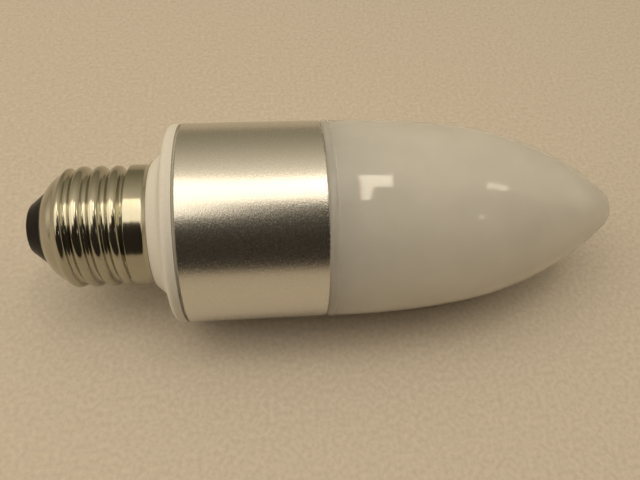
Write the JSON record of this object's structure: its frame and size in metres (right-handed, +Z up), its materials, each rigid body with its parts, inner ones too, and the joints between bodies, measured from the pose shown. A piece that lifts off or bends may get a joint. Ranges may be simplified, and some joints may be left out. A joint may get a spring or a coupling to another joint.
{
  "type": "led light bulb",
  "caption": "Bullet-shaped lamp with a screw cap, white collar, satin aluminium sleeve and opal dome; screws into a lampholder and lights a room.",
  "frame": {"origin": "on the floor under the middle of the lamp's length, the lamp lying on its side", "axes": "+X along the lamp's axis towards the dome's tip, the screw cap towards -X, +Z up"},
  "size_m": [0.1292, 0.0436, 0.0436],
  "materials": {
    "cap_nickel": "bright nickel plate on rolled brass sheet",
    "black_glass": "opaque black cap glass, glossy",
    "contact_metal": "nickel-plated, with a film of solder",
    "collar_white": "satin white moulding",
    "satin_aluminium": "fine bead-blasted satin",
    "dome_opal": "glossy opal moulding",
    "screw_steel": "zinc plated",
    "pad_grey": "soft thermal pad",
    "board_white": "white solder mask on an aluminium core",
    "emitter_white": "white moulded base",
    "lens_clear": "clear cast lens over a yellow phosphor",
    "board_green": "green solder mask on glass-fibre board",
    "ferrite_dark": "sintered ferrite",
    "bobbin_black": "moulded bobbin",
    "winding_tape": "winding under yellow tape",
    "capacitor_sleeve": "printed shrink sleeve without print",
    "choke_sleeve": "shrink sleeve",
    "resistor_body": "coated resistor body",
    "package_black": "moulded package",
    "wire_red": "insulated wire",
    "wire_black": "insulated wire"
  },
  "bodies": {
    "root": {"screw_shell": "cap_nickel", "cap_insulator": "black_glass", "centre_contact": "contact_metal", "collar": "collar_white", "heat_sink": "satin_aluminium", "collar_screws": "screw_steel", "thermal_pad": "pad_grey", "led_board": "board_white", "led_emitters": "emitter_white", "led_lenses": "lens_clear", "board_screws": "screw_steel", "diffuser_dome": "dome_opal", "driver_board": "board_green", "transformer_core": "ferrite_dark", "transformer_bobbin": "bobbin_black", "transformer_winding": "winding_tape", "input_capacitor": "capacitor_sleeve", "output_capacitor": "capacitor_sleeve", "filter_choke": "choke_sleeve", "fuse_resistor": "resistor_body", "bridge_rectifier": "package_black", "switching_chip": "package_black", "output_diode": "package_black", "live_wire": "wire_red", "neutral_wire": "wire_black", "light_lead_positive": "wire_red", "light_lead_negative": "wire_black"}
  },
  "joints": []
}
